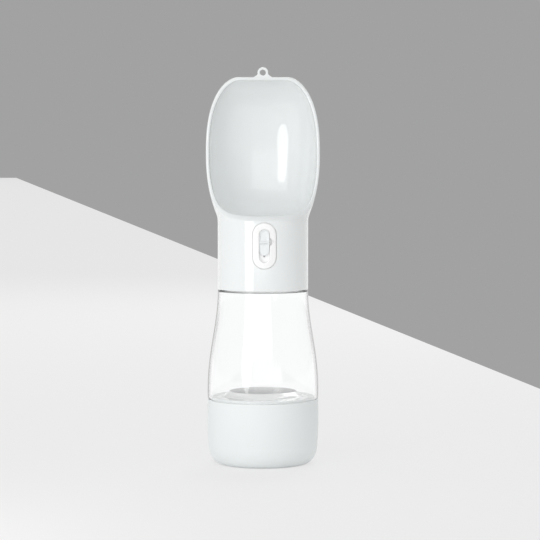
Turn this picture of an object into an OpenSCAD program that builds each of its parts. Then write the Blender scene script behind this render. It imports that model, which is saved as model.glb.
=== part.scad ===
// Dog travel water bottle: a drinking trough head with a push button valve,
// a clear water tank and a food cup that screws on below it.
// The bottle stands on z = 0, its axis is Z and its front faces -Y.

/* [Food cup] */
// Largest outer radius of the cup
cup_max_r = 37; // [33:0.1:42]
// How far the cup draws in from there to the flat ring that it stands on
cup_foot_in = 9; // [7:0.5:12]
// How far the cup draws in from there to its rim
cup_rim_in = 0.3; // [0.1:0.1:0.6]
// Height of the cup's rim above the table
cup_h = 42.9; // [38:0.1:50]
// Wall of the cup below its ledge
cup_wall = 2.4; // [1.6:0.1:2.8]
// Thickness of the cup's floor
cup_floor = 2.4; // [1.6:0.1:4]
// Height of the rounded corner at the cup's foot
cup_corner_h = 13; // [8:0.5:16]
// Depth of the hollow under the cup's floor
cup_foot_recess = 0.8; // [0.4:0.1:1.2]

/* [Tank] */
// Height of the clear tank from its lower edge to the ledge under the head
tank_h = 72.3; // [60:0.5:110]
// Rise of the shoulder above that ledge, inside the head's collar
tank_lip = 1.8; // [1.2:0.1:2.4]
// How far the tank swells above its foot, which is flush with the cup's rim
tank_swell = 0.2; // [0.1:0.1:0.8]
// Wall of the clear tank
tank_wall = 2; // [1.4:0.1:2.4]
// Outer radius of the tank's neck
neck_r = 23.6; // [20:0.1:24]
// Wall of the neck
neck_wall = 2.2; // [1.6:0.1:2.8]
// Height of the neck above the shoulder
neck_h = 7.6; // [6.4:0.1:8.6]

/* [Tank floor] */
// Rise of the dish in the tank's floor
dish_rise = 4.5; // [3:0.1:8]
// Width of the flat ring between the threaded skirt and the dish
dish_margin = 4.35; // [3:0.05:7]
// How far the dish draws in from its foot to its top
dish_slope = 5; // [3:0.5:8]
// Wall of the tank's floor
floor_wall = 1.6; // [1.4:0.1:2.6]
// Length of the threaded skirt under the tank's floor
skirt_len = 9.5; // [6:0.1:12]
// Wall of the threaded skirt
skirt_wall = 2; // [1.4:0.1:2.6]

/* [Trough head] */
// Outer radius of the head's collar
collar_r = 30; // [29.5:0.1:30.6]
// Wall of the collar
collar_wall = 2.4; // [1.8:0.1:2.6]
// Height from the collar's lower edge to the lip of the trough
lip_h = 45.6; // [45.6:0.1:50]
// Largest half width of the trough
trough_w = 37.8; // [35:0.1:40]
// Height of the trough's widest place above its lip
trough_wide_h = 44.4; // [40:0.1:48]
// Height of the trough's top edge above its lip
trough_top_h = 94.7; // [86:0.1:104]
// Half length of the straight stretch of the top edge
top_flat = 16.6; // [12:0.1:20]
// Wall of the trough
trough_wall = 2.1; // [1.8:0.1:2.6]
// Rise of the lip from its outer to its inner edge
lip_rise = 3.1; // [2.2:0.1:4]
// Width of the lip, from front to back
lip_w = 3.7; // [3:0.1:4.5]
// Height above the lip where the back stops being upright
back_straight_h = 38; // [30:0.5:50]
// How fast the rim sweeps back from the lip
rim_sweep = 4.3; // [3.6:0.1:5.5]

/* [Hanging loop] */
// Radius of the hole in the hanging loop
loop_hole_r = 2; // [1.5:0.1:2.4]
// Outer radius of the hanging loop
loop_r = 3.55; // [3.2:0.05:4.2]
// Thickness of the hanging loop from front to back
loop_t = 4; // [3:0.1:5]
// Height of the loop's centre above the trough's top edge
loop_up = 3.1; // [2.8:0.1:3.6]

/* [Button] */
// Half width of the oval button
button_w = 7.85; // [7:0.05:9]
// Half height of the oval button
button_h = 15.1; // [14:0.1:15.3]
// Height of the button's centre below the lip
button_drop = 15.9; // [15.7:0.1:17]
// How far the button stands out from the collar
button_proud = 0.4; // [0.2:0.1:0.8]
// Travel of the button when it is pressed
button_travel = 4; // [3:0.1:4.4]
// Half width of the slot in the button
slot_w = 3.5; // [3.2:0.05:4.2]
// Half height of the slot in the button
slot_h = 10.95; // [10:0.05:12]
// Depth of the slot, from the button's face
slot_deep = 2.3; // [1.8:0.1:2.6]
// Gap round the button in the collar
button_gap = 0.2; // [0.15:0.05:0.5]
// Gap round the slider in the button's slot
slider_gap = 0.2; // [0.15:0.05:0.5]

/* [Lock slider] */
// Half height of the lock slider
slider_h = 8.6; // [7:0.1:9]
// Travel of the lock slider
slider_travel = 4.3; // [3:0.1:4.3]
// Thickness of the slider's plate
slider_t = 1.85; // [1.4:0.05:2]

/* [Valve] */
// Height of the valve's axis above the button's centre
valve_up = 3.3; // [3:0.1:4]
// Radius of the valve's bore
bore_r = 6.5; // [6:0.1:7]
// Wall of the valve barrel
barrel_wall = 3; // [2.4:0.1:3.1]
// Radial gap between the spool and the bore
spool_gap = 0.08; // [0.05:0.01:0.1]
// Radius of the water ports
port_r = 2; // [1.6:0.1:2.2]
// Radius of the thick part of a seal ring
ring_r = 0.7; // [0.6:0.05:0.8]
// Thickness of the round plate that closes the neck socket
plate_t = 2.8; // [2:0.1:3]
// Thickness of the neck gasket
gasket_t = 1.4; // [1:0.1:1.8]
// Coils of the return spring
spring_coils = 4.5; // [3:0.5:5]
// Thickness of the spring's wire
spring_wire = 0.7; // [0.5:0.05:0.8]

/* [Hidden] */
$fn = 96;
tiny = 0.05;

// Fits
weld_gap = 0;
seam_gap = 0.4;
thread_gap = 1.2;
cup_thread_gap = 0.9;
seal_gap = 0.05;
press_gap = 0.04;

// Levels of the cup, tank and head
tank_z = cup_h + seam_gap;
ledge_z = tank_z + tank_h;
shoulder_z = ledge_z + tank_lip;
neck_top = shoulder_z + neck_h;
collar_z = ledge_z + seam_gap;
lip_z = collar_z + lip_h;
plate_z = neck_top + gasket_t;
plate_top = plate_z + plate_t;
button_z = lip_z - button_drop;
valve_z = button_z + valve_up;

// Radii that follow from the walls and gaps
cup_base_r = cup_max_r - cup_foot_in;
cup_rim_r = cup_max_r - cup_rim_in;
tank_foot_r = cup_rim_r;
tank_max_r = tank_foot_r + tank_swell;
floor_r = tank_foot_r - tank_wall;
cup_in_r = cup_max_r - cup_wall - 0.4;
skirt_r = cup_in_r - cup_thread_gap;
dish_base_r = skirt_r - skirt_wall - dish_margin;
dish_top_r = dish_base_r - dish_slope;
mouth_r = skirt_r + seal_gap + 1 + 0.3;
mouth_z = cup_h - 2.1;
neck_in_r = neck_r - neck_wall;
socket_r = neck_r + thread_gap;
collar_in_r = collar_r - collar_wall;
tank_lip_r = collar_in_r - seam_gap;
barrel_r = bore_r + barrel_wall;
spool_r = bore_r - spool_gap;

// ---- Food cup ----
function cup_r(z) = z <= cup_corner_h
    ? cup_base_r + (cup_mid_r() - cup_base_r) * sqrt(1 - pow(1 - z / cup_corner_h, 2))
    : z < cup_wide_z()
    ? cup_mid_r() + (cup_max_r - cup_mid_r()) * sin(90 * (z - cup_corner_h) / (cup_wide_z() - cup_corner_h))
    : cup_rim_r + (cup_max_r - cup_rim_r) * cos(90 * (z - cup_wide_z()) / (cup_h - cup_wide_z()));
function cup_mid_r() = cup_max_r - 0.7;
function cup_wide_z() = cup_h * 0.68;

module food_cup() {
    corner = [for (a = [0:7.5:90]) cup_corner_h * (1 - cos(a))];
    side = [for (k = [1:8]) cup_corner_h + (cup_h - 0.5 - cup_corner_h) * k / 8];
    floor_z = cup_foot_recess + cup_floor;
    rise = cup_corner_h - cup_floor - 0.6;
    color([0.92, 0.93, 0.93])
    rotate_extrude()
    polygon(concat(
        [[0, cup_foot_recess], [cup_base_r - 4.8, cup_foot_recess], [cup_base_r - 4, 0]],
        [for (z = corner) [cup_r(z), z]],
        [for (z = side) [cup_r(z), z]],
        [[cup_rim_r - 0.5, cup_h], [mouth_r + 0.3, cup_h], [mouth_r, cup_h - 0.3]],
        [[mouth_r, mouth_z], [cup_in_r, mouth_z]],
        [for (a = [0:10:90]) [cup_in_r - rise * (1 - cos(a)), floor_z + rise * (1 - sin(a))]],
        [[0, floor_z]]));
}

module cup_seal() {
    lip = 0.3;
    color([0.75, 0.77, 0.78])
    rotate_extrude()
    polygon([[skirt_r + seal_gap, mouth_z + lip], [skirt_r + seal_gap + lip, mouth_z],
        [mouth_r - 0.3 - lip, mouth_z], [mouth_r - 0.3, mouth_z + lip],
        [mouth_r - 0.3, tank_z - 2 * seal_gap], [skirt_r + seal_gap, tank_z - 2 * seal_gap]]);
}

// ---- Clear tank ----
tank_low = 4.5;
function tank_r(z) = z < tank_z + tank_low
    ? tank_foot_r + (tank_max_r - tank_foot_r) * sin(90 * (z - tank_z) / tank_low)
    : collar_r + (tank_max_r - collar_r) * (1 + cos(180 * pow(tank_part(z), 1.1))) / 2;
function tank_part(z) = (z - tank_z - tank_low) / (tank_h - tank_low);

module tank() {
    low = [for (k = [0:3]) tank_z + tank_low * k / 4];
    edge = 0.3;
    taper = 4.6;
    body = [for (k = [0:24]) tank_z + tank_low + (tank_h - tank_low - edge) * k / 24];
    inside = [for (k = [24:-1:0]) tank_z + tank_low + (tank_h - tank_low - taper) * k / 24];
    color([0.93, 0.95, 0.96, 0.35])
    rotate_extrude()
    polygon(concat(
        [for (z = low) [tank_r(z), z]],
        [for (z = body) [tank_r(z), z]],
        [[tank_r(ledge_z) - edge, ledge_z], [tank_lip_r, ledge_z]],
        [[tank_lip_r, shoulder_z - edge], [tank_lip_r - edge, shoulder_z]],
        [[neck_r, shoulder_z], [neck_r, neck_top - 0.4], [neck_r - 0.4, neck_top]],
        [[neck_in_r + 0.4, neck_top], [neck_in_r, neck_top - 0.4]],
        [[neck_in_r, shoulder_z - 1], [neck_in_r + 1, shoulder_z - tank_wall]],
        [[tank_lip_r - tank_wall, shoulder_z - tank_wall]],
        [for (z = inside) [tank_r(z) - tank_wall, z]],
        [[floor_r, tank_z + floor_wall], [floor_r, tank_z]]));
}

module tank_floor() {
    top = tank_z + floor_wall;
    color([0.93, 0.95, 0.96, 0.35])
    rotate_extrude()
    polygon([[floor_r - weld_gap, tank_z], [floor_r - weld_gap, top],
        [dish_base_r, top], [dish_top_r + 0.8, top + dish_rise - 0.5],
        [dish_top_r, top + dish_rise], [0, top + dish_rise],
        [0, top + dish_rise - floor_wall], [dish_top_r - 1.2, top + dish_rise - floor_wall],
        [dish_base_r - 1.8, tank_z], [skirt_r - skirt_wall, tank_z],
        [skirt_r - skirt_wall, tank_z - skirt_len], [skirt_r - 0.6, tank_z - skirt_len],
        [skirt_r, tank_z - skirt_len + 0.6], [skirt_r, tank_z]]);
}

// ---- Trough head ----
function soft_max(a, b, k) = (a + b + sqrt((a - b) * (a - b) + k * k)) / 2;
function flare(h) = trough_w - (trough_w - collar_r)
    * pow(max(0, trough_wide_h - h) / (trough_wide_h - 2.2), 2.3);
function crown(h) = top_flat + (trough_w - top_flat)
    * pow(max(0, 1 - pow(max(0, h - trough_wide_h) / (trough_top_h - trough_wide_h), 2.5)), 0.54);
// Outer half width at height h above the lip
function out_w(h) = h < trough_wide_h ? soft_max(collar_r, flare(h), 0.5 * smooth_in(h)) : crown(h);
function smooth_in(h) = max(0, min(1, (h + 1.6) / 1.6, (trough_wide_h - h) / 6));
// Outer depth of the back at height h above the lip
function out_d(h) = h < back_straight_h ? collar_r
    : collar_r * pow(max(0, 1 - pow((h - back_straight_h) / (trough_top_h - back_straight_h), 2.5)), 0.6);
function sweep(part) = exp(-rim_sweep * pow(part * trough_top_h / trough_wide_h, 0.78));

// Inner skin: its rows run from the lip's inner edge to just under the top
in_top = trough_top_h - trough_wall;
bowl_back_h = 28;
bowl_floor = lip_rise - 1.4;
function in_w(h) = h < trough_wide_h
    ? out_w(h) - trough_wall - (lip_w - trough_wall + 0.1) * exp(-(h - lip_rise) / 4.5)
    : trough_wide_h >= h ? out_w(h) : in_crown(h);
function in_crown(h) = let (
        side = trough_w - trough_wall - (lip_w - trough_wall + 0.1) * exp(-(h - lip_rise) / 4.5),
        flat = top_flat - trough_wall * 0.6)
    flat + (side - flat) * pow(max(0, 1 - pow((h - trough_wide_h) / (in_top - trough_wide_h), 2.5)), 0.54);
function in_d(h) = h < bowl_back_h
    ? (collar_r - trough_wall) * pow(max(0, 1 - pow((bowl_back_h - h) / (bowl_back_h - bowl_floor + 0.05), 2.2)), 0.4545)
    : h < back_straight_h ? collar_r - trough_wall
    : (collar_r - trough_wall) * pow(max(0, 1 - pow((h - back_straight_h) / (in_top - back_straight_h), 2.5)), 0.6);

// One row of a skin: w and d are its half width and depth, y0 its front edge
cols = 56;
rows = 23;
function row(w, d, y0, z) = let (a0 = asin(max(-1, min(1, y0 / w))))
    [for (k = [0:cols]) let (a = a0 + (180 - 2 * a0) * k / cols)
        [w * cos(a), (sin(a) < 0 ? w : d) * sin(a), z]];
// The first rows follow the lip round the collar in equal steps of angle,
// the rest climb to the top and crowd together there
lip_rows = 7;
lip_turn = 66;
function lip_part(j) = trough_wide_h / trough_top_h
    * pow(-ln(cos(lip_turn * j / lip_rows)) / rim_sweep, 1 / 0.78);
function climb(u) = 0.45 * u + 2.1 * u * u - 1.55 * u * u * u;
function part_at(j) = j <= lip_rows ? lip_part(j)
    : lip_part(lip_rows) + (1 - lip_part(lip_rows)) * climb((j - lip_rows) / (rows - lip_rows));
// Wall of the rim is rounded: a bulged row lies between the two skins
rim_bulge = 0.55;

function out_row(j) = let (p = part_at(j), h = trough_top_h * p)
    row(out_w(h), out_d(h), -collar_r * sweep(p) + rim_bulge * (1 - sweep(p)), lip_z + h);
function in_row(j) = let (p = part_at(j), h = lip_rise + (in_top - lip_rise) * p)
    row(in_w(h), in_d(h), -in_w(lip_rise) * sweep(p) + rim_bulge * (1 - sweep(p)), lip_z + h);
function ring(w, d, z) = [for (k = [0:cols - 1]) let (a = -90 + 360 * k / cols)
    [w * cos(a), (sin(a) < 0 ? w : d) * sin(a), z]];
function rim_mid(a, b, p) = [(a[0] + b[0]) / 2, (a[1] + b[1]) / 2 - rim_bulge * (1 - sweep(p)) * 1.4,
    (a[2] + b[2]) / 2 + 0.5 * sweep(p)];

skin_low = 1.6;
skin_step = 0.06;
floor_rings = 3;
floor_points = [for (k = [0:floor_rings - 1]) let (t = (k + 1) / floor_rings, h = lip_rise - (lip_rise - bowl_floor) * sin(90 * t))
    ring(in_w(lip_rise) - 5 * pow(t, 1.5), max(3, in_d(h)), lip_z + h)];

module trough_skin() {
    // Points: outer base ring, outer rows, inner rows, floor rings, rim middle points
    base = ring(collar_r + skin_step, collar_r + skin_step, lip_z - skin_low);
    outer = [for (j = [0:rows]) out_row(j)];
    inner = [for (j = [0:rows]) in_row(j)];
    n = cols;
    n1 = cols + 1;
    // the first row of each skin is closed, so its last point is its first
    b0 = 0;
    o0 = n;
    i0 = o0 + n + rows * n1;
    f0 = i0 + n + rows * n1;
    m0 = f0 + floor_rings * n;
    function oi(j, k) = j == 0 ? o0 + (k % n) : o0 + n + (j - 1) * n1 + k;
    function ii(j, k) = j == 0 ? i0 + (k % n) : i0 + n + (j - 1) * n1 + k;
    function fi(j, k) = f0 + j * n + (k % n);
    // rim loop: [row, column] pairs
    rim = concat([for (j = [0:rows]) [j, 0]], [for (k = [1:n - 1]) [rows, k]],
        [for (j = [rows:-1:1]) [j, n]]);
    points = concat(base,
        [for (k = [0:n - 1]) outer[0][k]], [for (j = [1:rows]) for (k = [0:n]) outer[j][k]],
        [for (k = [0:n - 1]) inner[0][k]], [for (j = [1:rows]) for (k = [0:n]) inner[j][k]],
        [for (r = floor_points) for (p = r) p],
        [for (q = rim) rim_mid(outer[q[0]][q[1]], inner[q[0]][q[1]], part_at(q[0]))],
        [[0, -4, lip_z + bowl_floor]], [[0, 0, lip_z - skin_low]]);
    rn = len(rim);
    cf = m0 + rn;
    cb = cf + 1;
    faces = concat(
        [for (k = [0:n - 1]) [cb, (k + 1) % n, k]],
        [for (k = [0:n - 1]) for (f = [[k, (k + 1) % n, oi(0, k + 1)], [k, oi(0, k + 1), oi(0, k)]]) f],
        [for (j = [0:rows - 1]) for (k = [0:n - 1])
            for (f = [[oi(j, k), oi(j, k + 1), oi(j + 1, k + 1)], [oi(j, k), oi(j + 1, k + 1), oi(j + 1, k)]]) f],
        [for (j = [0:rows - 1]) for (k = [0:n - 1])
            for (f = [[ii(j, k), ii(j + 1, k + 1), ii(j, k + 1)], [ii(j, k), ii(j + 1, k), ii(j + 1, k + 1)]]) f],
        [for (k = [0:n - 1]) for (f = [[ii(0, k), ii(0, k + 1), fi(0, k + 1)], [ii(0, k), fi(0, k + 1), fi(0, k)]]) f],
        [for (j = [0:floor_rings - 2]) for (k = [0:n - 1])
            for (f = [[fi(j, k), fi(j, k + 1), fi(j + 1, k + 1)], [fi(j, k), fi(j + 1, k + 1), fi(j + 1, k)]]) f],
        [for (k = [0:n - 1]) [fi(floor_rings - 1, k), fi(floor_rings - 1, k + 1), cf]],
        [for (r = [0:rn - 1]) let (s = (r + 1) % rn, qa = rim[r], qb = rim[s],
                a = oi(qa[0], qa[1]), b = oi(qb[0], qb[1]), c = ii(qa[0], qa[1]), d = ii(qb[0], qb[1]))
            for (f = [[a, b, m0 + s], [a, m0 + s, m0 + r], [m0 + r, m0 + s, d], [m0 + r, d, c]]) f]);
    clean = [for (f = faces) [for (k = [len(f) - 1:-1:0]) f[k]]];
    polyhedron(points, clean);
}

// Stadium prism along Y from y0 to y1
module oval(w, h, z, y0, y1) {
    translate([0, y1, z]) rotate([90, 0, 0]) linear_extrude(y1 - y0) {
        translate([0, h - w]) circle(w);
        translate([0, w - h]) circle(w);
        square([2 * w, 2 * (h - w)], center = true);
    }
}

loop_z = lip_z + trough_top_h + loop_up;
loop_y = -0.4;
grommet_y = -3.4;
grommet_r = 4.3;
head_ceiling = lip_z - 0.4;

module trough_head() {
    color([0.95, 0.96, 0.96])
    difference() {
        union() {
            trough_skin();
            translate([0, 0, collar_z]) cylinder(r = collar_r, h = lip_h - skin_low / 2);
            loop_solid();
        }
        translate([0, 0, collar_z - 1]) cylinder(r = collar_in_r, h = head_ceiling - collar_z + 1);
        translate([0, loop_y - 1, loop_z]) rotate([-90, 0, 0]) cylinder(r = loop_hole_r, h = loop_t + 2);
        oval(button_w + button_gap, button_h + button_gap, button_z, -collar_r - 5, -collar_in_r + 8);
        translate([0, grommet_y, head_ceiling - 1]) cylinder(r = grommet_r, h = 6);
    }
}

// Ring of the loop and the web that flares into the top edge
module loop_solid() {
    web = 6.2;
    translate([0, loop_y, loop_z]) rotate([-90, 0, 0]) cylinder(r = loop_r, h = loop_t);
    translate([0, loop_y + loop_t, 0]) rotate([90, 0, 0]) linear_extrude(loop_t)
    difference() {
        polygon([[-web, loop_z - loop_up - 1.2], [web, loop_z - loop_up - 1.2],
            [web, loop_z - loop_up], [loop_r - 0.1, loop_z - 0.4], [-loop_r + 0.1, loop_z - 0.4], [-web, loop_z - loop_up]]);
        for (s = [-1, 1]) translate([s * (web + 0.6), loop_z - loop_up + 4.75]) circle(4.8);
    }
}

// ---- Valve ----
barrel_front = -17;
barrel_rear = 22.5;
inlet_y = 3.6;
skirt_low = shoulder_z + seam_gap;
vent_pos = [12.4, 12.6];
rib_half = socket_r * 0.6;
post_h = 9.4;

module valve_body() {
    color([0.9, 0.91, 0.91])
    difference() {
        union() {
            // plate and threaded socket skirt
            translate([0, 0, plate_z]) cylinder(r = collar_in_r - press_gap, h = plate_t);
            difference() {
                translate([0, 0, skirt_low]) cylinder(r = socket_r + 1.6, h = plate_z - skirt_low + tiny);
                translate([0, 0, skirt_low - 1]) cylinder(r = socket_r, h = plate_z - skirt_low + 1);
            }
            // barrel on its saddle
            translate([0, barrel_front, valve_z]) rotate([-90, 0, 0]) cylinder(r = barrel_r, h = barrel_rear - barrel_front);
            translate([-6, -9, plate_top - 1]) cube([12, 24, valve_z - plate_top + 1]);
            for (s = [-1, 1]) translate([-rib_half, s * 6 - 0.8 + 3, plate_top - 1]) cube([2 * rib_half, 1.6, valve_z - plate_top - 5]);
            // outlet tower
            translate([0, grommet_y, valve_z]) cylinder(r = port_r + 3.4, h = head_ceiling - 1.7 - valve_z);
            // post just behind the slider's tail when it is down and the button is in
            translate([-2.5, lock_stop_y, plate_top - 1]) cube([5, 2.2, post_h + 1]);
        }
        translate([0, barrel_front - 1, valve_z]) rotate([-90, 0, 0]) cylinder(r = bore_r, h = barrel_rear - barrel_front + 2);
        translate([0, inlet_y, plate_z - 1]) cylinder(r = port_r, h = valve_z - plate_z + 1);
        translate([0, grommet_y, valve_z]) cylinder(r = port_r, h = head_ceiling - valve_z);
        translate([vent_pos[0], vent_pos[1], plate_z - 1]) cylinder(r = vent_stem_r + seal_gap, h = plate_t + 2);
        for (a = [0:120:240]) translate([vent_pos[0] + 2.4 * cos(a), vent_pos[1] + 2.4 * sin(a), plate_z - 1])
            cylinder(r = 0.5, h = plate_t + 2);
    }
}

// Places of the spool's lands and rings along Y, at rest
land_front = [-16.5, -8.5];
land_middle = [-0.6, 1.4];
land_rear = [6.2, 11.5];
stem_r = 2.9;
stem_front = -25.4;
waist_r = 3.2;
groove_r = spool_r - 0.04 - 2 * ring_r;
spigot_r = 3.4;
spool_rings = [-12.5, 0.4, 8.9];

module along_y(profile) {
    rotate([-90, 0, 0]) rotate_extrude() polygon(profile);
}

module valve_spool() {
    g = ring_r + 0.08;
    color([0.86, 0.88, 0.89])
    translate([0, 0, valve_z])
    along_y(concat([[0, stem_front], [stem_r - 0.4, stem_front], [stem_r, stem_front + 0.4],
        [stem_r, clip_y - clip_t / 2], [stem_r - 0.7, clip_y - clip_t / 2],
        [stem_r - 0.7, clip_y + clip_t / 2], [stem_r, clip_y + clip_t / 2], [stem_r, land_front[0]],
        [spool_r, land_front[0]]],
        [[spool_r, spool_rings[0] - g], [groove_r, spool_rings[0] - g]],
        [[groove_r, spool_rings[0] + g], [spool_r, spool_rings[0] + g]],
        [[spool_r, land_front[1]], [waist_r, land_front[1]], [waist_r, land_middle[0]], [spool_r, land_middle[0]]],
        [[spool_r, spool_rings[1] - g], [groove_r, spool_rings[1] - g]],
        [[groove_r, spool_rings[1] + g], [spool_r, spool_rings[1] + g]],
        [[spool_r, land_middle[1]], [waist_r, land_middle[1]], [waist_r, land_rear[0]], [spool_r, land_rear[0]]],
        [[spool_r, spool_rings[2] - g], [groove_r, spool_rings[2] - g]],
        [[groove_r, spool_rings[2] + g], [spool_r, spool_rings[2] + g]],
        [[spool_r, land_rear[1]], [spigot_r, land_rear[1]], [spigot_r, land_rear[1] + 2.4],
        [spigot_r - 0.5, land_rear[1] + 2.9], [0, land_rear[1] + 2.9]]));
}

module seal_ring(y) {
    color([0.15, 0.16, 0.17])
    translate([0, y, valve_z]) rotate([-90, 0, 0])
    rotate_extrude() translate([groove_r + ring_r, 0]) circle(ring_r, $fn = 32);
}
module spool_ring_front() { seal_ring(spool_rings[0]); }
module spool_ring_middle() { seal_ring(spool_rings[1]); }
module spool_ring_rear() { seal_ring(spool_rings[2]); }

// Rear plug, its ring and the spring that it carries
plug_face = 19;
plug_ring_y = 20.8;

module bore_plug() {
    g = ring_r + 0.08;
    color([0.9, 0.91, 0.91])
    translate([0, 0, valve_z])
    along_y([[0, plug_face], [spool_r - 0.4, plug_face], [spool_r, plug_face + 0.4],
        [spool_r, plug_ring_y - g], [groove_r, plug_ring_y - g],
        [groove_r, plug_ring_y + g], [spool_r, plug_ring_y + g],
        [spool_r, barrel_rear], [barrel_r - 0.4, barrel_rear], [barrel_r - 0.4, barrel_rear + 1.5],
        [0, barrel_rear + 1.5]]);
}
module plug_ring() { seal_ring(plug_ring_y); }

spring_r = 4.7;
function coil_point(t, a) = let (u = 360 * spring_coils * t, r = spring_r + spring_wire / 2 * cos(a),
        y0 = land_rear[1] + spring_wire / 2 + 0.05, y1 = plug_face - spring_wire / 2 - 0.05)
    [r * cos(u), y0 + (y1 - y0) * t + spring_wire / 2 * sin(a), valve_z + r * sin(u)];

module return_spring() {
    steps = round(spring_coils * 20);
    sides = 8;
    points = concat([for (k = [0:steps]) for (s = [0:sides - 1]) coil_point(k / steps, 360 * s / sides)]);
    side_faces = [for (k = [0:steps - 1]) for (s = [0:sides - 1])
        for (f = [[k * sides + s, k * sides + (s + 1) % sides, (k + 1) * sides + (s + 1) % sides],
            [k * sides + s, (k + 1) * sides + (s + 1) % sides, (k + 1) * sides + s]]) f];
    start = [for (s = [sides - 1:-1:0]) s];
    finish = [for (s = [0:sides - 1]) steps * sides + s];
    color([0.7, 0.7, 0.72]) polyhedron(points, concat(side_faces, [start], [finish]));
}

module outlet_grommet() {
    low = head_ceiling - 1.7;
    color([0.8, 0.82, 0.83])
    translate([0, grommet_y, 0])
    rotate_extrude()
    polygon([[port_r + 0.3, low], [port_r + 3.4, low], [port_r + 3.4, head_ceiling],
        [grommet_r - press_gap, head_ceiling], [grommet_r - press_gap, lip_z + bowl_floor],
        [port_r + 0.8, lip_z + bowl_floor], [port_r + 0.3, lip_z + bowl_floor - 0.5]]);
}

vent_stem_r = 1.1;
module vent_valve() {
    color([0.8, 0.82, 0.83])
    translate([vent_pos[0], vent_pos[1], 0])
    rotate_extrude()
    polygon([[0, plate_z - 0.9], [2, plate_z - 0.9], [3.4, plate_z - 0.4], [3.4, plate_z],
        [vent_stem_r, plate_z], [vent_stem_r, plate_top], [vent_stem_r + 0.6, plate_top + 0.1],
        [vent_stem_r - 0.2, plate_top + 1.4], [0, plate_top + 1.4]]);
}

module neck_gasket() {
    color([0.75, 0.77, 0.78])
    translate([0, 0, neck_top])
    difference() {
        cylinder(r = neck_r + 0.6, h = gasket_t);
        translate([0, 0, -1]) cylinder(r = neck_in_r + 0.2, h = gasket_t + 2);
    }
}

// ---- Button ----
button_back = -collar_in_r + 1.2;
face_y = -(collar_r + button_proud);
slot_floor_y = face_y + slot_deep;
slider_top_gap = 0.25;
slider_z = button_z + slot_h - slider_h - slider_top_gap;
slider_back_y = slot_floor_y - 0.12;
tail_drop = 4.9;
tail_half = 1;
tail_w = 0.9;
tail_z = slider_z - tail_drop;
keeper_t = 0.6;
keeper_w = tail_w + slider_gap + 1.4;
tail_end = button_back + button_travel + keeper_t + slider_gap;
lock_stop_y = tail_end + button_travel + slider_gap;
boss_r = 4.2;
clip_y = -21.6;
clip_t = 0.6;
notch_up = 2.65;

module button_cap() {
    color([0.97, 0.97, 0.97])
    difference() {
        union() {
            intersection() {
                oval(button_w, button_h, button_z, -collar_r - 3, button_back);
                translate([0, 0, button_z - button_h - 1]) cylinder(r = collar_r + button_proud, h = 2 * button_h + 2);
            }
            translate([0, button_back - 0.5, valve_z]) rotate([-90, 0, 0]) cylinder(r = boss_r, h = clip_y - clip_t / 2 - button_back + 0.5);
        }
        oval(slot_w, slot_h, button_z, -collar_r - 4, slot_floor_y);
        // arrow notch beside the slot
        translate([0, slot_floor_y + 0.6, button_z + notch_up]) rotate([90, 0, 0]) linear_extrude(6)
            polygon([[slot_w - 0.6, 3.3], [slot_w + 2.8, 0.35], [slot_w + 2.8, -0.35], [slot_w - 0.6, -3.3]]);
        // stem bore
        translate([0, stem_front - press_gap, valve_z]) rotate([-90, 0, 0]) cylinder(r = stem_r + press_gap, h = 12);
        // slot for the slider's tail
        translate([-tail_w - slider_gap, -collar_r, tail_z - tail_half - slider_travel - slider_gap])
            cube([2 * (tail_w + slider_gap), collar_r + button_back + 1, slider_travel + 2 * (tail_half + slider_gap)]);
    }
}

// Clip that holds the spool's stem in the button's boss
module stem_clip() {
    color([0.7, 0.7, 0.72])
    translate([0, clip_y - clip_t / 2, valve_z]) rotate([-90, 0, 0])
    difference() {
        cylinder(r = boss_r - 0.3, h = clip_t);
        translate([0, 0, -1]) cylinder(r = stem_r - 0.7, h = clip_t + 2);
        translate([-(stem_r - 0.7), 0, -1]) cube([2 * (stem_r - 0.7), boss_r + 1, clip_t + 2]);
    }
}

module lock_slider() {
    w = slot_w - slider_gap;
    color([0.86, 0.88, 0.89, 0.8])
    union() {
        difference() {
            oval(w, slider_h, slider_z, slider_back_y - slider_t, slider_back_y);
            // finger groove across the middle
            translate([-w - 1, slider_back_y - slider_t - 0.9, slider_z]) rotate([0, 90, 0]) cylinder(r = 1.4, h = 2 * w + 2);
        }
        translate([-tail_w, slider_back_y - 0.5, tail_z - tail_half]) cube([2 * tail_w, tail_end - slider_back_y + 0.5, 2 * tail_half]);
    }
}

// Plate behind the button that holds the tail of the slider
module slider_keeper() {
    low = tail_z - tail_half - slider_travel - 2 * slider_gap;
    high = tail_z + tail_half + 2 * slider_gap;
    color([0.9, 0.91, 0.91])
    difference() {
        translate([-keeper_w, button_back + seal_gap, low]) cube([2 * keeper_w, keeper_t, high - low]);
        translate([-tail_w, button_back - 1, tail_z - tail_half]) cube([2 * tail_w, 3, 2 * tail_half]);
    }
}

food_cup();
cup_seal();
tank();
tank_floor();
neck_gasket();
trough_head();
valve_body();
valve_spool();
spool_ring_front();
spool_ring_middle();
spool_ring_rear();
return_spring();
bore_plug();
plug_ring();
outlet_grommet();
vent_valve();
button_cap();
stem_clip();
lock_slider();
slider_keeper();
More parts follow.
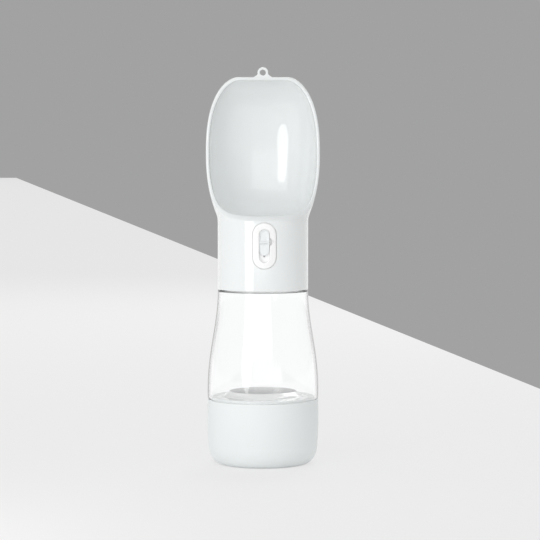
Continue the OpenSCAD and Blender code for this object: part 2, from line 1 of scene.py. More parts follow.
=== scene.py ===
import math
import bpy
import bmesh
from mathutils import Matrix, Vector


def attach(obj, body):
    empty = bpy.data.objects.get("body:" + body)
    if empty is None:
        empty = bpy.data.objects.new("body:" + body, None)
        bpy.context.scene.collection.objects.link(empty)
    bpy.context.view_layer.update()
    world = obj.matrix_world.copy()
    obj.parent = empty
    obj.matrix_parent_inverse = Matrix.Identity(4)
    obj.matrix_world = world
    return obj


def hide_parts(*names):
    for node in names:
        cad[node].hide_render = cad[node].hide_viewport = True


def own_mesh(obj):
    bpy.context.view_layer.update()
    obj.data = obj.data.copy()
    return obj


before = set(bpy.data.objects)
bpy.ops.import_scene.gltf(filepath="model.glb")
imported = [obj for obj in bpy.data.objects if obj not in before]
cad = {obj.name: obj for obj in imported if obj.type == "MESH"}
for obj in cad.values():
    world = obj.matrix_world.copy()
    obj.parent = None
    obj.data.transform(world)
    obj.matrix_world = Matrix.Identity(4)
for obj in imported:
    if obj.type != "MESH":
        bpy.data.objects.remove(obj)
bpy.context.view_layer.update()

scene = bpy.context.scene
mm = 0.001  # pieces are sized in millimetres, the scene in metres


def newMaterial(name):
    material = bpy.data.materials.new(name)
    material.use_nodes = True
    return material, material.node_tree, material.node_tree.nodes["Principled BSDF"]


def fill(node, values):
    for socket, value in values.items():
        node.inputs[socket].default_value = value


def addNode(tree, kind, values=None, operation=None):
    node = tree.nodes.new(kind)
    if operation:
        node.operation = operation
    fill(node, values or {})
    return node


def addSockets(tree, side, kind, *names):
    for name in names:
        tree.interface.new_socket(name, in_out=side, socket_type="NodeSocket" + kind)


def connect(tree, *wires):
    # wires: (from node, output, to node, input)
    for source, output, target, entry in wires:
        tree.links.new(source.outputs[output], target.inputs[entry])


def placeCamera():
    view = {
        "distance": 1.363,  # metres from the bottle's axis
        "height": 0.1963,
        "azimuth": -1.84,  # degrees round the bottle from its front
        "yaw": 0.197,
        "pitch": 2.843,  # degrees down
        "lens": 136.9,
        "sensor": 36,
        "clipStart": 0.05,
        "clipEnd": 60,
    }
    data = bpy.data.cameras.new("camera")
    data.lens = view["lens"]
    data.sensor_width = view["sensor"]
    data.clip_start = view["clipStart"]
    data.clip_end = view["clipEnd"]
    camera = bpy.data.objects.new("camera", data)
    away = view["distance"]
    turn = math.radians(view["azimuth"])
    heading = math.radians(view["azimuth"] - view["yaw"])
    camera.location = (away * math.sin(turn), -away * math.cos(turn), view["height"])
    camera.rotation_euler = (math.radians(90 - view["pitch"]), 0, heading)
    scene.collection.objects.link(camera)
    scene.camera = camera


def makeRoom():
    room = {
        "paleColor": (0.875, 0.875, 0.875, 1),
        "greyColor": (0.361, 0.361, 0.361, 1),
        "lineStart": (-1.168, 14.856),  # the two tones meet on the floor along this line
        "lineEnd": (0.241, 0.650),
        "halfWidth": 12.0,
        "front": -6.0,
        "back": 40.0,
        "height": 12.0,
        "flatShare": 0.72,  # of the pale floor's own tone; the rest is lit and shows the shadow
        "roughness": 0.9,
        "gloss": 0.1,
    }
    side, front, back, tall = room["halfWidth"], room["front"], room["back"], room["height"]
    floorCorners = [(-side, front, 0), (side, front, 0), (side, back, 0), (-side, back, 0)]
    wallCorners = [(-side, back, 0), (side, back, 0), (side, back, tall), (-side, back, tall)]
    floor = plainMesh("studioFloor", floorCorners, [(0, 1, 2, 3)])
    wall = plainMesh("studioWall", wallCorners, [(3, 2, 1, 0)])
    floor.data.materials.append(studioPaint("floorPaint", room, True))
    wall.data.materials.append(studioPaint("wallPaint", room, False))


def plainMesh(name, points, faces):
    mesh = bpy.data.meshes.new(name)
    mesh.from_pydata(points, [], faces)
    piece = bpy.data.objects.new(name, mesh)
    scene.collection.objects.link(piece)
    return piece


def studioPaint(name, room, isFloor):
    # the wall is grey; the floor is pale in front of the line and grey beyond it
    material, tree, paint = newMaterial(name)
    fill(paint, {"Roughness": room["roughness"], "Specular IOR Level": room["gloss"]})
    tone = addNode(tree, "ShaderNodeMix")
    tone.data_type = "RGBA"
    fill(tone, {"A": room["paleColor"], "B": room["greyColor"], "Factor": 1})
    share = addNode(tree, "ShaderNodeMath", {1: 1}, "MULTIPLY")
    if isFloor:
        (x0, y0), (x1, y1) = room["lineStart"], room["lineEnd"]
        across = Vector((y0 - y1, x1 - x0, 0)).normalized()
        place = addNode(tree, "ShaderNodeTexCoord")
        side = addNode(tree, "ShaderNodeVectorMath", {1: across}, "DOT_PRODUCT")
        beyond = addNode(tree, "ShaderNodeMath", {1: across.x * x0 + across.y * y0}, "GREATER_THAN")
        flat = addNode(tree, "ShaderNodeMapRange", {"To Min": room["flatShare"]})
        connect(
            tree,
            (place, "Object", side, 0),
            (side, "Value", beyond, 0),
            (beyond, 0, tone, "Factor"),
            (beyond, 0, flat, "Value"),
            (flat, "Result", share, 1),
        )
    # the camera sees the flat tone, reflections and clear plastic see white
    rays = addNode(tree, "ShaderNodeLightPath")
    indirect = addNode(tree, "ShaderNodeMath", operation="MAXIMUM")
    through = addNode(tree, "ShaderNodeMath", operation="MAXIMUM")
    glow = addNode(tree, "ShaderNodeEmission")
    clear = addNode(tree, "ShaderNodeMix")
    clear.data_type = "RGBA"
    fill(clear, {"B": (1, 1, 1, 1)})
    mix = addNode(tree, "ShaderNodeMixShader")
    connect(
        tree,
        (tone, "Result", paint, "Base Color"),
        (tone, "Result", clear, "A"),
        (rays, "Is Glossy Ray", indirect, 0),
        (rays, "Is Transmission Ray", indirect, 1),
        (indirect, 0, clear, "Factor"),
        (clear, "Result", glow, "Color"),
        (rays, "Is Camera Ray", share, 0),
        (share, 0, through, 0),
        (indirect, 0, through, 1),
        (through, 0, mix, "Fac"),
        (paint, 0, mix, 1),
        (glow, 0, mix, 2),
        (mix, 0, tree.nodes["Material Output"], "Surface"),
    )
    return material


def areaLamp(name, lamp, place, target, shape="RECTANGLE"):
    data = bpy.data.lights.new(name, "AREA")
    data.shape = shape
    data.size = lamp["width"]
    data.size_y = lamp["height"]
    data.energy = lamp["power"]
    light = bpy.data.objects.new(name, data)
    light.location = place
    light.rotation_euler = (Vector(target) - Vector(place)).to_track_quat("-Z", "Y").to_euler()
    scene.collection.objects.link(light)


def lightStudio():
    dome = {"zenith": 0.59, "horizon": 0.82}
    oval = {"power": 0.235, "width": 0.15, "height": 0.24}
    ovalTurn, ovalAway, ovalLevel = math.radians(-35.5), 0.4, 0.135
    front = {"power": 12.0, "width": 3.0, "height": 1.6}
    frontPlace, frontTarget = (-0.55, -2.15, 0.6), (0, 0, 0.15)
    back = {"power": 8.0, "width": 1.1, "height": 0.8}
    backPlace, backTarget = (0.35, 1.6, 1.15), (0, 0, 0.06)
    world = bpy.data.worlds.new("studioWorld")
    scene.world = world
    world.use_nodes = True
    tree = world.node_tree
    sky = tree.nodes["Background"]
    fill(sky, {"Color": (1, 1, 1, 1)})
    aim = addNode(tree, "ShaderNodeTexCoord")
    split = addNode(tree, "ShaderNodeSeparateXYZ")
    strength = addNode(tree, "ShaderNodeMapRange", {"To Min": dome["horizon"], "To Max": dome["zenith"]})
    connect(
        tree,
        (aim, "Generated", split, 0),
        (split, "Z", strength, "Value"),
        (strength, "Result", sky, "Strength"),
    )
    # the oval softbox makes the long highlight in the bowl
    ovalPlace = (ovalAway * math.sin(ovalTurn), -ovalAway * math.cos(ovalTurn), ovalLevel)
    areaLamp("ovalSoftbox", oval, ovalPlace, (0, 0, ovalLevel), "ELLIPSE")
    areaLamp("frontPanel", front, frontPlace, frontTarget)
    areaLamp("backPanel", back, backPlace, backTarget)


def makePiece(name, points, faces, sharpAngle=40):
    # points in millimetres
    mesh = bpy.data.meshes.new(name)
    mesh.from_pydata([(x * mm, y * mm, z * mm) for x, y, z in points], [], faces)
    mesh.validate()
    piece = bpy.data.objects.new(name, mesh)
    scene.collection.objects.link(piece)
    faceOutward(piece, sharpAngle)
    return piece


def faceOutward(piece, sharpAngle=40):
    work = bmesh.new()
    work.from_mesh(piece.data)
    bmesh.ops.remove_doubles(work, verts=work.verts, dist=1e-7)
    bmesh.ops.recalc_face_normals(work, faces=work.faces)
    work.to_mesh(piece.data)
    work.free()
    piece.data.shade_smooth()
    piece.data.set_sharp_from_angle(angle=math.radians(sharpAngle))


def applyModifiers(piece, sharpAngle):
    bpy.context.view_layer.update()
    graph = bpy.context.evaluated_depsgraph_get()
    finished = bpy.data.meshes.new_from_object(piece.evaluated_get(graph), depsgraph=graph)
    piece.modifiers.clear()
    old = piece.data
    piece.data = finished
    bpy.data.meshes.remove(old)
    faceOutward(piece, sharpAngle)


def carve(piece, tools, sharpAngle=35):
    # tools: [(operation, piece)], joined or cut away in this order
    for operation, tool in tools:
        cut = piece.modifiers.new(operation, "BOOLEAN")
        cut.operation = operation
        cut.solver = "EXACT"
        cut.object = tool
    applyModifiers(piece, sharpAngle)
    for _, tool in tools:
        mesh = tool.data
        bpy.data.objects.remove(tool)
        bpy.data.meshes.remove(mesh)


def joinPieces(piece, other, sharpAngle=35):
    work = bmesh.new()
    work.from_mesh(piece.data)
    work.from_mesh(other.data)
    work.to_mesh(piece.data)
    work.free()
    mesh = other.data
    bpy.data.objects.remove(other)
    bpy.data.meshes.remove(mesh)
    piece.data.shade_smooth()
    piece.data.set_sharp_from_angle(angle=math.radians(sharpAngle))


def roundedPath(corners, steps=5, closed=True):
    # corners: (r, z) or (r, z, fillet radius)
    path = []
    count = len(corners)
    sideShare = 0.49  # the most of a side that one fillet takes
    for i, corner in enumerate(corners):
        here = Vector(corner[:2])
        fillet = corner[2] if len(corner) > 2 else 0
        if fillet <= 0 or (not closed and i in (0, count - 1)):
            path.append(here)
            continue
        before = Vector(corners[i - 1][:2]) - here
        after = Vector(corners[(i + 1) % count][:2]) - here
        half = before.angle(after) / 2
        cut = min(fillet / math.tan(half), before.length * sideShare, after.length * sideShare)
        radius = cut * math.tan(half)
        a, b = before.normalized(), after.normalized()
        centre = here + (a + b).normalized() * (radius / math.sin(half))
        start, end = here + a * cut - centre, here + b * cut - centre
        for k in range(steps + 1):
            blend = start.lerp(end, k / steps)
            path.append(centre + blend.normalized() * radius)
    return path


def bridge(faces, here, there):
    count = len(here)
    for k in range(count):
        n = (k + 1) % count
        faces.append((here[k], here[n], there[n], there[k]))


def lathe(name, path, count=128, sharpAngle=40):
    # revolves a closed outline round Z; points on the axis become single poles
    points, rings, faces = [], [], []
    onAxis = 1e-6
    for r, z in path:
        if abs(r) < onAxis:
            points.append((0, 0, z))
            rings.append([len(points) - 1])
        else:
            first = len(points)
            for k in range(count):
                a = 2 * math.pi * k / count
                points.append((r * math.cos(a), r * math.sin(a), z))
            rings.append(list(range(first, first + count)))
    for lower, upper in zip(rings, rings[1:] + rings[:1]):
        if len(lower) == len(upper) == count:
            bridge(faces, lower, upper)
        elif len(lower) == count:
            faces.extend((lower[k], lower[(k + 1) % count], upper[0]) for k in range(count))
        elif len(upper) == count:
            faces.extend((lower[0], upper[(k + 1) % count], upper[k]) for k in range(count))
    return makePiece(name, points, faces, sharpAngle)


def turned(piece, level):
    # lays a lathe that was made round Z along Y, at that level
    for corner in piece.data.vertices:
        x, y, z = corner.co
        corner.co = (x, z, level * mm - y)
    piece.data.update()
    faceOutward(piece)
    return piece


def stadium(width, height, arc=24, side=12):
    # an oval with straight sides, of that half width and half height, anticlockwise from its right side
    points = []
    run = height - width
    for k in range(arc + 1):
        a = math.pi * k / arc
        points.append((width * math.cos(a), run + width * math.sin(a)))
    for k in range(1, side):
        points.append((-width, run - 2 * run * k / side))
    for k in range(arc + 1):
        a = math.pi + math.pi * k / arc
        points.append((width * math.cos(a), -run + width * math.sin(a)))
    for k in range(1, side):
        points.append((width, -run + 2 * run * k / side))
    return points


def prism(name, outline, front, back, level):
    # outline points (x, height), drawn out along Y
    count = len(outline)
    points = [(x, y, level + h) for y in (front, back) for x, h in outline]
    near, far = list(range(count)), list(range(count, 2 * count))
    faces = [tuple(near), tuple(reversed(far))]
    bridge(faces, near, far)
    return makePiece(name, points, faces)


def ovalPrism(name, size, level):
    outline = stadium(size["halfWidth"], size["halfHeight"], arc=32, side=4)
    return prism(name, outline, size["front"], size["back"], level)


def boxPiece(name, low, high):
    points = [(x, y, z) for x in (low[0], high[0]) for y in (low[1], high[1]) for z in (low[2], high[2])]
    faces = [(0, 1, 3, 2), (4, 6, 7, 5), (0, 4, 5, 1), (2, 3, 7, 6), (0, 2, 6, 4), (1, 5, 7, 3)]
    return makePiece(name, points, faces)


def buildMouldedSkin():
    # colour, roughness and height of an injection moulded surface
    group = bpy.data.node_groups.new("mouldedSkin", "ShaderNodeTree")
    addSockets(group, "INPUT", "Color", "Light Color", "Deep Color")
    addSockets(group, "INPUT", "Float", "Patch Scale", "Grain Scale", "Rough Low", "Rough High")
    addSockets(group, "OUTPUT", "Color", "Color")
    addSockets(group, "OUTPUT", "Float", "Roughness", "Height")
    start, end = addNode(group, "NodeGroupInput"), addNode(group, "NodeGroupOutput")
    place = addNode(group, "ShaderNodeTexCoord")
    patches = addNode(group, "ShaderNodeTexNoise", {"Detail": 3})
    grain = addNode(group, "ShaderNodeTexNoise", {"Detail": 2})
    toneAndEdgeShade = addNode(group, "ShaderNodeMix")
    toneAndEdgeShade.data_type = "RGBA"
    # the noise keeps between these two
    rough = addNode(group, "ShaderNodeMapRange", {"From Min": 0.3, "From Max": 0.7})
    connect(
        group,
        (place, "Object", patches, "Vector"),
        (place, "Object", grain, "Vector"),
        (start, "Patch Scale", patches, "Scale"),
        (start, "Grain Scale", grain, "Scale"),
        (patches, "Fac", toneAndEdgeShade, "Factor"),
        (start, "Light Color", toneAndEdgeShade, "A"),
        (start, "Deep Color", toneAndEdgeShade, "B"),
        (patches, "Fac", rough, "Value"),
        (start, "Rough Low", rough, "To Min"),
        (start, "Rough High", rough, "To Max"),
        (toneAndEdgeShade, "Result", end, "Color"),
        (rough, "Result", end, "Roughness"),
        (grain, "Fac", end, "Height"),
    )
    return group


def moulded(skin, name, light, deep, rough, grain, bump, coat=0.0, subsurface=0.0, gloss=0.5):
    material, tree, shader = newMaterial(name)
    surface = addNode(tree, "ShaderNodeGroup")
    surface.node_tree = skin
    fill(surface, {"Light Color": (*light, 1), "Deep Color": (*deep, 1), "Patch Scale": 18})
    fill(surface, {"Rough Low": rough[0], "Rough High": rough[1], "Grain Scale": grain})
    relief = addNode(tree, "ShaderNodeBump", {"Strength": bump, "Distance": 0.0001})
    connect(
        tree,
        (surface, "Color", shader, "Base Color"),
        (surface, "Roughness", shader, "Roughness"),
        (surface, "Height", relief, "Height"),
        (relief, "Normal", shader, "Normal"),
    )
    fill(shader, {"IOR": 1.5, "Specular IOR Level": gloss, "Coat Weight": coat, "Coat Roughness": 0.05})
    if subsurface:
        fill(shader, {"Subsurface Weight": subsurface, "Subsurface Scale": 1})
        fill(shader, {"Subsurface Radius": (0.0012, 0.0012, 0.0012)})
    return material


def setRamp(ramp, places, colors):
    for stop, place, color in zip(ramp.color_ramp.elements, places, colors):
        stop.position = place
        stop.color = (*color, 1)


def clearPlastic(name, color, paintedEdgeShade, paintedShadeSpan, clearness=1.0):
    # the span of the painted edge shade: where, on the way to a grazing view, it starts and is full
    material, tree, shader = newMaterial(name)
    fill(shader, {"IOR": 1.46, "Metallic": 0, "Transmission Weight": clearness})
    # painted shade: Layer Weight darkens the base colour towards the edge colour where the surface turns
    # away from the view, a painted dark outline
    edge = addNode(tree, "ShaderNodeLayerWeight", {"Blend": 0.5})
    toneAndEdgeShade = addNode(tree, "ShaderNodeValToRGB")
    setRamp(toneAndEdgeShade, paintedShadeSpan, (color, paintedEdgeShade))
    place = addNode(tree, "ShaderNodeTexCoord")
    waves = addNode(tree, "ShaderNodeTexNoise", {"Scale": 26, "Detail": 1})
    spread = addNode(tree, "ShaderNodeMapRange", {"To Min": 0, "To Max": 0.03})
    relief = addNode(tree, "ShaderNodeBump", {"Strength": 0.04, "Distance": 0.0005})
    # light and soft shadows pass straight through, so that what is inside is lit
    rays = addNode(tree, "ShaderNodeLightPath")
    passes = addNode(tree, "ShaderNodeMath", operation="MAXIMUM")
    window = addNode(tree, "ShaderNodeBsdfTransparent", {"Color": (1, 1, 1, 1)})
    mix = addNode(tree, "ShaderNodeMixShader")
    connect(
        tree,
        (edge, "Facing", toneAndEdgeShade, "Fac"),
        (toneAndEdgeShade, "Color", shader, "Base Color"),
        (place, "Object", waves, "Vector"),
        (waves, "Fac", spread, "Value"),
        (spread, "Result", shader, "Roughness"),
        (waves, "Fac", relief, "Height"),
        (relief, "Normal", shader, "Normal"),
        (rays, "Is Shadow Ray", passes, 0),
        (rays, "Is Diffuse Ray", passes, 1),
        (passes, 0, mix, "Fac"),
        (shader, 0, mix, 1),
        (window, 0, mix, 2),
        (mix, 0, tree.nodes["Material Output"], "Surface"),
    )
    return material


def drawnSteel(name):
    material, tree, shader = newMaterial(name)
    fill(shader, {"Metallic": 1})
    place = addNode(tree, "ShaderNodeTexCoord")
    drawn = addNode(tree, "ShaderNodeTexNoise", {"Scale": 700})
    tone = addNode(tree, "ShaderNodeMapRange", {"To Min": 0.22, "To Max": 0.36})
    shade = addNode(tree, "ShaderNodeValToRGB")
    setRamp(shade, (0, 1), ((0.56, 0.57, 0.58), (0.68, 0.68, 0.69)))
    connect(
        tree,
        (place, "Object", drawn, "Vector"),
        (drawn, "Fac", tone, "Value"),
        (drawn, "Fac", shade, "Fac"),
        (shade, "Color", shader, "Base Color"),
        (tone, "Result", shader, "Roughness"),
    )
    return material


def makeFinishes():
    # rough gives the least and the most roughness, grain the number of grains in a metre
    mouldedFinishes = {
        "head": {"name": "headWhite", "light": (0.872, 0.897, 0.897), "deep": (0.858, 0.884, 0.884),
                 "rough": (0.05, 0.09), "grain": 700, "bump": 0.03, "coat": 0.6},
        "cup": {"name": "cupWhite", "light": (0.86, 0.89, 0.89), "deep": (0.84, 0.872, 0.872),
                "rough": (0.4, 0.5), "grain": 2600, "bump": 0.35, "gloss": 0.25},
        "inner": {"name": "innerWhite", "light": (0.82, 0.83, 0.83), "deep": (0.78, 0.79, 0.79),
                  "rough": (0.35, 0.5), "grain": 1500, "bump": 0.15},
        "button": {"name": "buttonWhite", "light": (0.985, 0.985, 0.985), "deep": (0.97, 0.97, 0.97),
                   "rough": (0.2, 0.28), "grain": 900, "bump": 0.05, "subsurface": 0.25},
        "slider": {"name": "sliderGrey", "light": (0.88, 0.905, 0.91), "deep": (0.85, 0.88, 0.885),
                   "rough": (0.2, 0.3), "grain": 900, "bump": 0.05, "subsurface": 0.3},
        "acetal": {"name": "naturalAcetal", "light": (0.6, 0.62, 0.63), "deep": (0.55, 0.57, 0.58),
                   "rough": (0.35, 0.45), "grain": 1500, "bump": 0.1},
        "silicone": {"name": "softSilicone", "light": (0.84, 0.86, 0.86), "deep": (0.79, 0.81, 0.81),
                     "rough": (0.45, 0.6), "grain": 1800, "bump": 0.2, "subsurface": 0.3},
        "rubber": {"name": "blackRubber", "light": (0.05, 0.05, 0.055), "deep": (0.035, 0.035, 0.04),
                   "rough": (0.5, 0.65), "grain": 2200, "bump": 0.3},
    }
    # painted shade: each clear finish darkens towards its edge colour at grazing views, black on the tank
    # and the dish's top, pale grey on the plate, near white on the inside faces and white (no shade) on
    # the dish's slope
    clearFinishes = {
        "clear": {"name": "clearPlastic", "color": (0.985, 0.99, 0.99), "paintedEdgeShade": (0, 0, 0),
                  "paintedShadeSpan": (0.64, 0.86)},
        "clearInside": {"name": "clearInsidePlastic", "color": (0.985, 0.99, 0.99),
                        "paintedEdgeShade": (0.95, 0.955, 0.955), "paintedShadeSpan": (0.8, 1.0)},
        "clearSlope": {"name": "clearSlopePlastic", "color": (1, 1, 1), "paintedEdgeShade": (1, 1, 1),
                       "paintedShadeSpan": (0.9, 1.0), "clearness": 0.35},
        "clearFloor": {"name": "clearFloorPlastic", "color": (0.99, 0.995, 0.995),
                       "paintedEdgeShade": (0.68, 0.69, 0.695), "paintedShadeSpan": (0.9, 1.0), "clearness": 0.84},
    }
    skin = buildMouldedSkin()
    made = {kind: moulded(skin, **values) for kind, values in mouldedFinishes.items()}
    made["steel"] = drawnSteel("springSteel")
    made.update({kind: clearPlastic(**values) for kind, values in clearFinishes.items()})
    return made


def dress(piece, material, body=None, stands=()):
    piece.data.materials.clear()
    piece.data.materials.append(material)
    if body:
        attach(piece, body)
    if stands:
        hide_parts(*stands)
    return piece


def finishFaces(piece, rules):
    # rules: [(material, test of a face's middle and normal in millimetres)], the first that fits is used
    for material, _ in rules:
        piece.data.materials.append(material)
    for side in piece.data.polygons:
        middle = side.center / mm
        for number, (_, fits) in enumerate(rules, start=1):
            if fits(middle, side.normal):
                side.material_index = number
                break


placeCamera()
makeRoom()
lightStudio()
print("stage: camera, floor and lamps")

finish = makeFinishes()
print("stage: materials")


def makeCup():
    cup = {
        "baseRadius": 28.0, "maxRadius": 37.0, "rimRadius": 36.7, "height": 42.9,
        "cornerHeight": 13.0, "cornerInset": 0.7, "widestShare": 0.68, "recess": 0.8, "floor": 2.4,
        "footWidth": 4.4, "footSlope": 0.8, "footRound": 0.4, "topBand": 0.9, "sideRows": 20,
        "mouthRadius": 34.65, "mouthHeight": 40.8, "innerRadius": 34.2, "innerCorner": 10.0, "sides": 160,
    }
    base, widest, rim, height = cup["baseRadius"], cup["maxRadius"], cup["rimRadius"], cup["height"]
    corner, mouth, inner = cup["cornerHeight"], cup["mouthRadius"], cup["innerRadius"]
    middle, wide = widest - cup["cornerInset"], height * cup["widestShare"]

    def radiusAt(z):
        if z <= corner:
            return base + (middle - base) * math.sqrt(max(0, 1 - (1 - z / corner) ** 2))
        if z < wide:
            return middle + (widest - middle) * math.sin(math.pi / 2 * (z - corner) / (wide - corner))
        return rim + (widest - rim) * math.cos(math.pi / 2 * (z - wide) / (height - wide))

    # foot ring, rounded corner, side, mouth and inside; a corner's third number is its fillet
    footOut = base - cup["footRound"]
    footIn = footOut - cup["footWidth"]
    outline = [(0, cup["recess"]), (footIn, cup["recess"], 0.5)]
    outline += [(footIn + cup["footSlope"], 0, 0.4), (footOut, 0, 0.6)]
    cornerLevels = [corner * (1 - math.cos(math.radians(a))) for a in range(3, 91, 3)]
    sideStep = (height - cup["topBand"] - corner) / cup["sideRows"]
    sideLevels = [corner + sideStep * k for k in range(1, cup["sideRows"] + 1)]
    outline += [(radiusAt(z), z) for z in cornerLevels + sideLevels]
    outline += [(rim, height, 0.45), (mouth, height, 0.3)]
    outline += [(mouth, cup["mouthHeight"], 0.1), (inner, cup["mouthHeight"], 0.3)]
    floorTop, rise = cup["recess"] + cup["floor"], cup["innerCorner"]
    for a in range(0, 91, 6):
        turn = math.radians(a)
        outline.append((inner - rise * (1 - math.cos(turn)), floorTop + rise * (1 - math.sin(turn))))
    outline.append((0, floorTop))
    return lathe("foodCup", roundedPath(outline), cup["sides"])


dress(makeCup(), finish["cup"], "cup", ["food_cup"])
print("stage: food cup")


def makeTank():
    tank = {
        "low": 43.3, "height": 72.3, "footRadius": 36.7, "maxRadius": 36.9, "topRadius": 30.0,
        "lowPart": 4.5, "bend": 1.1, "wall": 2.0, "footRound": 0.5, "taper": 1.6, "insideLow": 2.2,
        "topGap": 0.45, "rows": 60, "ledge": 0.8, "neckRadius": 23.6, "neckWall": 2.2, "neckHeight": 7.6,
        "lipRadius": 27.2, "lipRise": 1.8, "lipWall": 1.0, "lipInset": 0.9, "insideFinishTop": 114.0,
        "sides": 192, "sharpAngle": 50,
    }
    low, height, part, wall = tank["low"], tank["height"], tank["lowPart"], tank["wall"]
    foot, widest, narrowest = tank["footRadius"], tank["maxRadius"], tank["topRadius"]
    ledge, neck, lip = low + height, tank["neckRadius"], tank["lipRadius"]
    shoulder = ledge + tank["lipRise"]
    neckTop, neckIn = shoulder + tank["neckHeight"], neck - tank["neckWall"]
    lipIn, lipUnder, ledgeUnder = lip - tank["lipInset"], shoulder - tank["lipWall"], ledge - tank["ledge"]

    def radiusAt(z):
        if z < low + part:
            return foot + (widest - foot) * math.sin(math.pi / 2 * (z - low) / part)
        along = min(1, (z - low - part) / (height - part)) ** tank["bend"]
        return narrowest + (widest - narrowest) * (1 + math.cos(math.pi * along)) / 2

    def levels(first, last):
        return [first + (last - first) * k / tank["rows"] for k in range(tank["rows"] + 1)]

    # up the outside to the neck, and down the inside; a corner's third number is its fillet
    outline = [(foot - tank["footRound"], low), (foot, low, tank["footRound"])]
    outline += [(radiusAt(z), z) for z in levels(low + tank["footRound"], ledge - tank["topGap"])]
    outline += [(radiusAt(ledge), ledge, 0.3), (lip, ledge, 0.2), (lip, shoulder, 0.4)]
    outline += [(neck, shoulder, 0.3), (neck, neckTop, 0.5), (neckIn, neckTop, 0.5)]
    outline += [(neckIn, lipUnder, 0.6), (lipIn, lipUnder, 0.3)]
    outline += [(lipIn, ledgeUnder, 0.3), (radiusAt(ledge) - wall, ledgeUnder, 0.5)]
    insideLevels = levels(low + tank["insideLow"], ledge - tank["taper"])
    outline += [(radiusAt(z) - wall, z) for z in reversed(insideLevels)]
    outline.append((foot - wall, low))
    piece = lathe("clearTank", roundedPath(outline), tank["sides"], tank["sharpAngle"])
    dress(piece, finish["clear"], "bottle", ["tank"])

    def isInside(middle, normal):
        return normal.x * middle.x + normal.y * middle.y < 0 and middle.z < tank["insideFinishTop"]

    # the inside faces get a copy of the clear plastic whose painted edge shade is near white, so that only
    # the outer wall shows the painted dark outline
    finishFaces(piece, [(finish["clearInside"], isInside)])


def makeTankFloor():
    plate = {
        "low": 43.3, "wall": 1.6, "outerRadius": 34.66, "edgeGap": 0.05,
        "dishBase": 26.95, "dishTop": 21.95, "dishRise": 3.4, "dishUnder": 0.35, "underTop": 2.3,
        "underBase": 0.4, "skirtRadius": 33.3, "skirtWall": 2.0, "skirtLength": 9.5, "sides": 160,
        "sharpAngle": 50, "rimFrom": 34.5, "slopeFrom": 44.0, "topFrom": 47.0,
        "upright": 0.5, "steepest": 0.3, "flattest": 0.93,  # upward parts of a face's normal
    }
    low, wall, outer = plate["low"], plate["wall"], plate["outerRadius"]
    base, crown = plate["dishBase"], plate["dishTop"]
    top, dishTop = low + wall, low + wall + plate["dishRise"]
    under, foot = dishTop - wall - plate["dishUnder"], low + plate["edgeGap"]
    skirt, end = plate["skirtRadius"], low - plate["skirtLength"]
    skirtIn = skirt - plate["skirtWall"]
    # over the dish and back under it to the skirt
    outline = [(outer, foot), (outer, top), (base, top, 1.0), (crown, dishTop, 1.2)]
    outline += [(0, dishTop), (0, under)]
    outline += [(crown - plate["underTop"], under, 0.5), (base - plate["underBase"], low, 0.3)]
    outline += [(skirtIn, low, 0.6), (skirtIn, end, 0.3), (skirt, end, 0.5), (skirt, foot, 0.2)]
    piece = lathe("clearTankFloor", roundedPath(outline), plate["sides"], plate["sharpAngle"])
    dress(piece, finish["clearFloor"], "bottle", ["tank_floor"])

    def isRim(middle, normal):
        return math.hypot(middle.x, middle.y) > plate["rimFrom"] and abs(normal.z) < plate["upright"]

    def isSlope(middle, normal):
        return plate["steepest"] < normal.z < plate["flattest"] and middle.z > plate["slopeFrom"]

    def isTop(middle, normal):
        return normal.z > plate["flattest"] and middle.z > plate["topFrom"]

    # the plate's edge is dull, the dish's slope pale and its top clear
    rules = [(finish["silicone"], isRim), (finish["clearSlope"], isSlope), (finish["clear"], isTop)]
    finishFaces(piece, rules)


